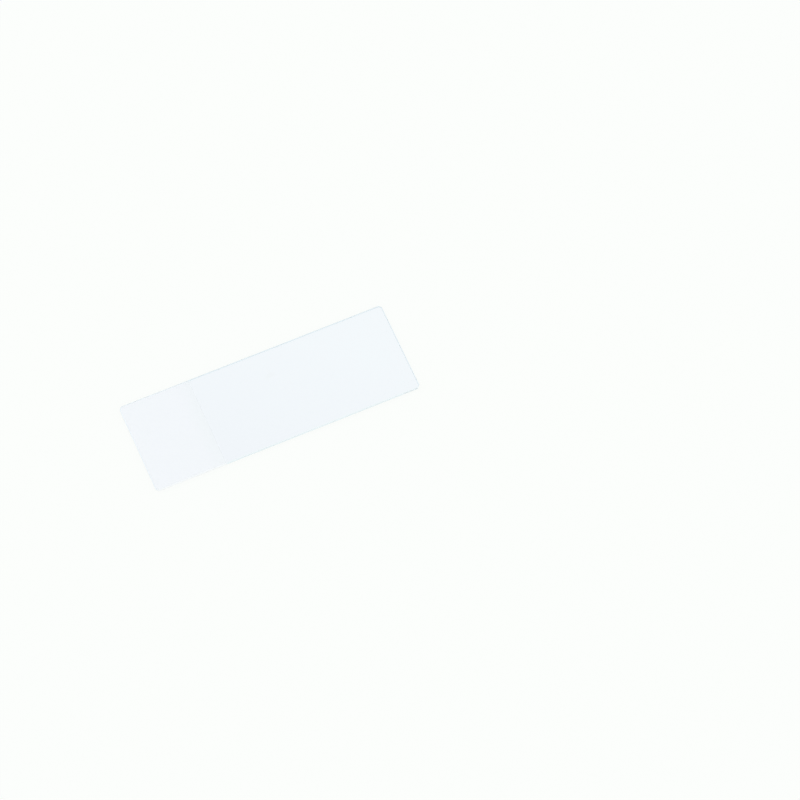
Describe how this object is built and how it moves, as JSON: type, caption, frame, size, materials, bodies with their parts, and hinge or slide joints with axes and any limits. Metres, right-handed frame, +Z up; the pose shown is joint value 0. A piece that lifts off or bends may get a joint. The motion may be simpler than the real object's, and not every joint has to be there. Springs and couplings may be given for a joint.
{
  "type": "microscope slide",
  "caption": "Flat glass microscope slide with ground edges, clipped corners and a frosted end for writing on; holds a specimen on a microscope stage.",
  "frame": {"origin": "centre of the underside, on the surface that the slide lies on", "axes": "+X along the length, from the frosted end to the clear end; +Y across the width; +Z up through the thickness, out of the frosted face"},
  "size_m": [0.076, 0.026, 0.001],
  "materials": {
    "glass": "polished clear faces, matt ground edges, one end frosted on the upper face"
  },
  "bodies": {
    "root": {"glass_slide": "glass"}
  },
  "joints": []
}
